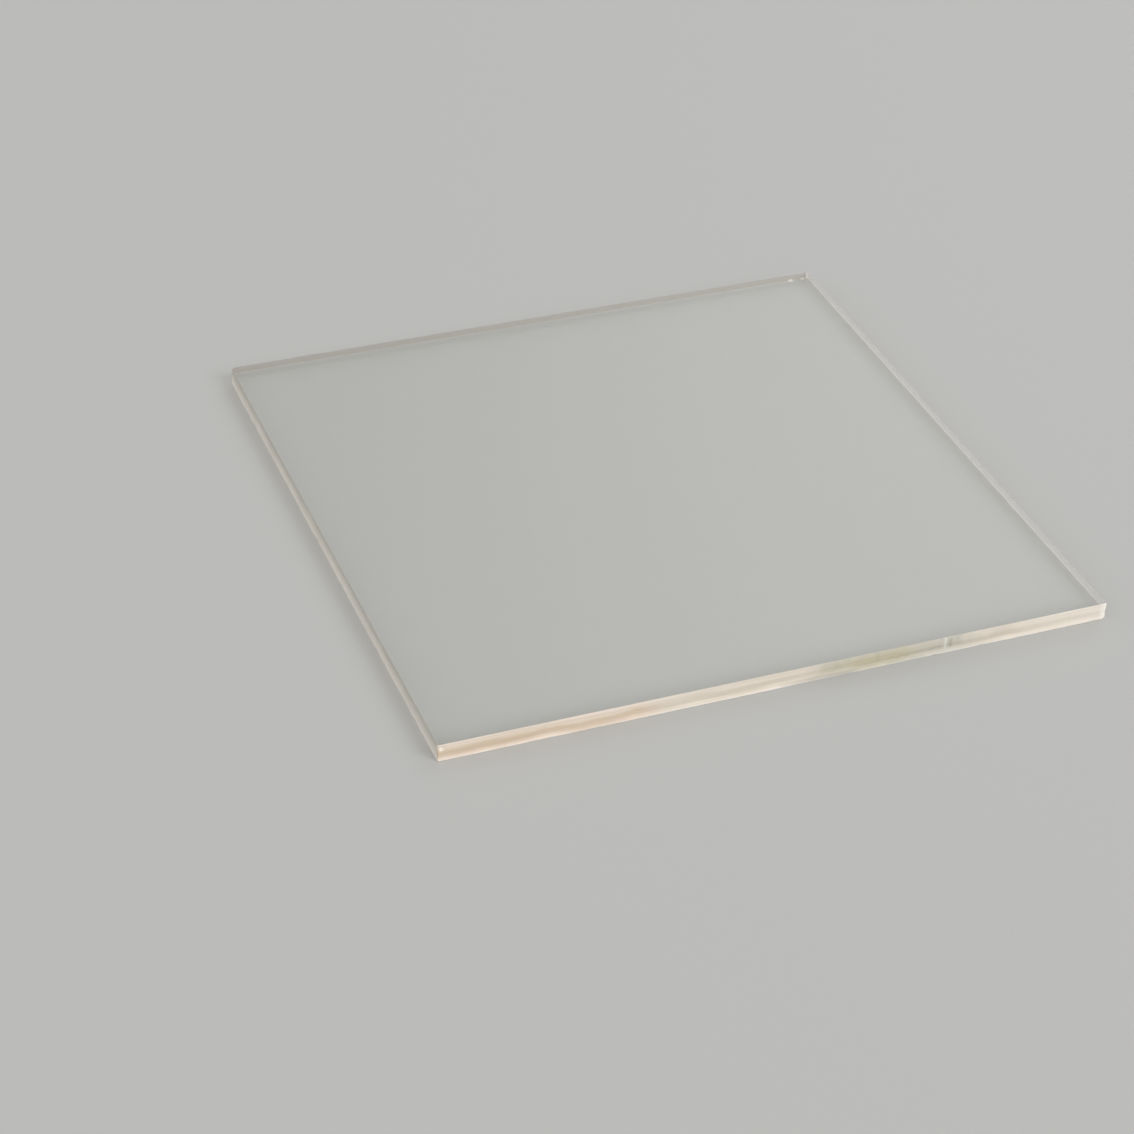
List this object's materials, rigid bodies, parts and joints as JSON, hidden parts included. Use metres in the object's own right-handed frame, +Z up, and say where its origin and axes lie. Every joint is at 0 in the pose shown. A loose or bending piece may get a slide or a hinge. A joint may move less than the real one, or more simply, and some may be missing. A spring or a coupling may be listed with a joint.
{
  "type": "acrylic sheet",
  "caption": "Square sheet of clear acrylic with polished faces, sawn frosted edges and scraped arrises, lying flat.",
  "frame": {"origin": "middle of the underside, on the surface that the sheet lies on", "axes": "+X along the front sawn edge, +Y from the front edge to the back edge, +Z up through the thickness"},
  "size_m": [0.15, 0.15, 0.004],
  "materials": {
    "clear_acrylic": "polished"
  },
  "bodies": {
    "root": {"acrylic_sheet": "clear_acrylic"}
  },
  "joints": []
}
